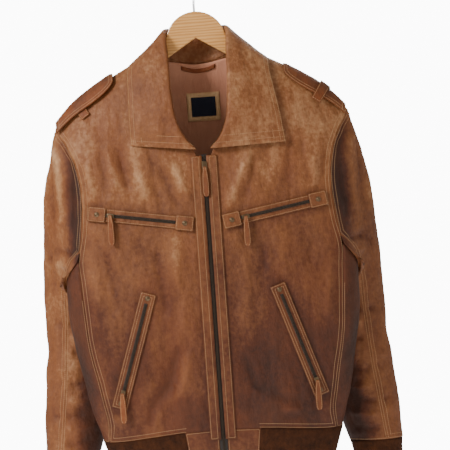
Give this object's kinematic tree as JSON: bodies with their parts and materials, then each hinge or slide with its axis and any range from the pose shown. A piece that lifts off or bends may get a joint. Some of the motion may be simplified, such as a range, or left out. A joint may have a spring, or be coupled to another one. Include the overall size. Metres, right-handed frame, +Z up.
{
  "type": "leather jacket on hanger",
  "caption": "Worn brown leather jacket with a pointed collar, shoulder straps, zip pockets and ribbed cuffs and hem, hanging on its wooden hanger.",
  "frame": {"origin": "inside top of the hanger's hook, where a rail carries it", "axes": "+Z up; +X to the wearer's left, which is image right; -Y is the jacket's front"},
  "size_m": [0.6282, 0.1994, 0.9072],
  "materials": {
    "leather": "worn, two-tone brown, matte where creased and satin on the raised folds",
    "rib": "dark brown ribbed knit",
    "lining": "brown woven lining",
    "label": "bare navy woven label",
    "zip": "dark zip tape and teeth",
    "metal_dark": "dark antique brass",
    "metal": "polished steel wire",
    "wood": "light wood, clear satin varnish"
  },
  "bodies": {
    "jacket": {"back_panel": "leather", "chest_rivet_inner_left": "metal_dark", "chest_rivet_inner_right": "metal_dark", "chest_rivet_outer_left": "metal_dark", "chest_rivet_outer_right": "metal_dark", "chest_slider_left": "metal_dark", "chest_slider_right": "metal_dark", "chest_tab_inner_left": "leather", "chest_tab_inner_right": "leather", "chest_tab_outer_left": "leather", "chest_tab_outer_right": "leather", "chest_welt_left": "leather", "chest_welt_right": "leather", "chest_zip_left": "zip", "chest_zip_right": "zip", "collar": "leather", "cuff_left": "rib", "cuff_right": "rib", "epaulette_left": "leather", "epaulette_loop_left": "leather", "epaulette_loop_right": "leather", "epaulette_right": "leather", "front_left": "leather", "front_right": "leather", "front_zip": "zip", "front_zip_slider": "metal_dark", "hang_loop": "leather", "hanger_body": "wood", "hanger_hook": "metal", "hem_rib": "rib", "hip_rivet_bottom_left": "metal_dark", "hip_rivet_bottom_right": "metal_dark", "hip_rivet_top_left": "metal_dark", "hip_rivet_top_right": "metal_dark", "hip_slider_left": "metal_dark", "hip_slider_right": "metal_dark", "hip_welt_left": "leather", "hip_welt_right": "leather", "hip_zip_left": "zip", "hip_zip_right": "zip", "label": "label", "label_frame": "leather", "lining_back": "lining", "placket_left": "leather", "placket_right": "leather", "side_left": "leather", "side_right": "leather", "sleeve_under_left": "leather", "sleeve_under_right": "leather", "sleeve_upper_left": "leather", "sleeve_upper_right": "leather", "waist_tab_left": "leather", "waist_tab_right": "leather"},
    "front_zip_pull": {"front_zip_pull": "leather"},
    "chest_pull_left": {"chest_pull_left": "leather"},
    "chest_pull_right": {"chest_pull_right": "leather"},
    "hip_pull_left": {"hip_pull_left": "leather"},
    "hip_pull_right": {"hip_pull_right": "leather"}
  },
  "joints": [
    {"name": "front_zip_pull_swing", "type": "hinge", "parent": "jacket", "child": "front_zip_pull", "pos_m": [0, -0.06547, -0.34688], "axis": [-1, 0, 0], "range_deg": [0, 150]},
    {"name": "chest_pull_left_swing", "type": "hinge", "parent": "jacket", "child": "chest_pull_left", "pos_m": [0.06407, -0.0693, -0.43489], "axis": [-0.9989, -0.0471, 0], "range_deg": [0, 150]},
    {"name": "chest_pull_right_swing", "type": "hinge", "parent": "jacket", "child": "chest_pull_right", "pos_m": [-0.16573, -0.05913, -0.41787], "axis": [-0.987, 0.1605, 0], "range_deg": [0, 150]},
    {"name": "hip_pull_left_swing", "type": "hinge", "parent": "jacket", "child": "hip_pull_left", "pos_m": [0.16621, -0.05476, -0.72126], "axis": [-0.9773, -0.2119, 0], "range_deg": [0, 150]},
    {"name": "hip_pull_right_swing", "type": "hinge", "parent": "jacket", "child": "hip_pull_right", "pos_m": [-0.16621, -0.05476, -0.72126], "axis": [-0.9773, 0.2119, 0], "range_deg": [0, 150]}
  ]
}
